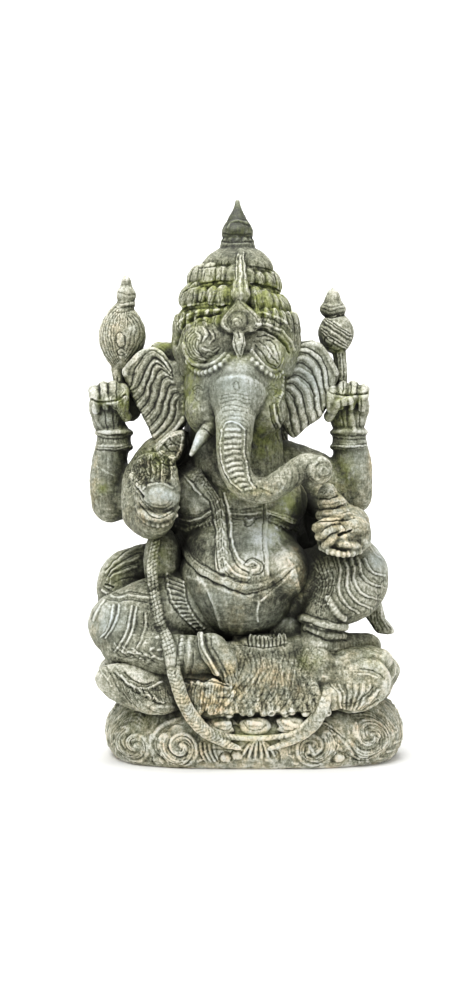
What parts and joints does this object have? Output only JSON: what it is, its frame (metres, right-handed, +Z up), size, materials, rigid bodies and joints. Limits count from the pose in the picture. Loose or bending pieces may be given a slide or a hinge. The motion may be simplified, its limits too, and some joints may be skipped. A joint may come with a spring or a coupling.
{
  "type": "ganesha statue",
  "caption": "Carved stone figure of Ganesha seated on a lotus cushion and a scroll-carved base, holding a shell, a bud and a bowl of sweets.",
  "frame": {"origin": "on the ground at the middle of the statue's footprint box", "axes": "+Z up, the figure faces -Y, +X is to the right of a viewer in front of it"},
  "size_m": [0.5498, 0.4142, 0.9663],
  "materials": {
    "stone": "weathered, chiselled and hand-rubbed grey-green stone with lichen and moss in the hollows"
  },
  "bodies": {
    "root": {"ganesha_statue": "stone"}
  },
  "joints": []
}
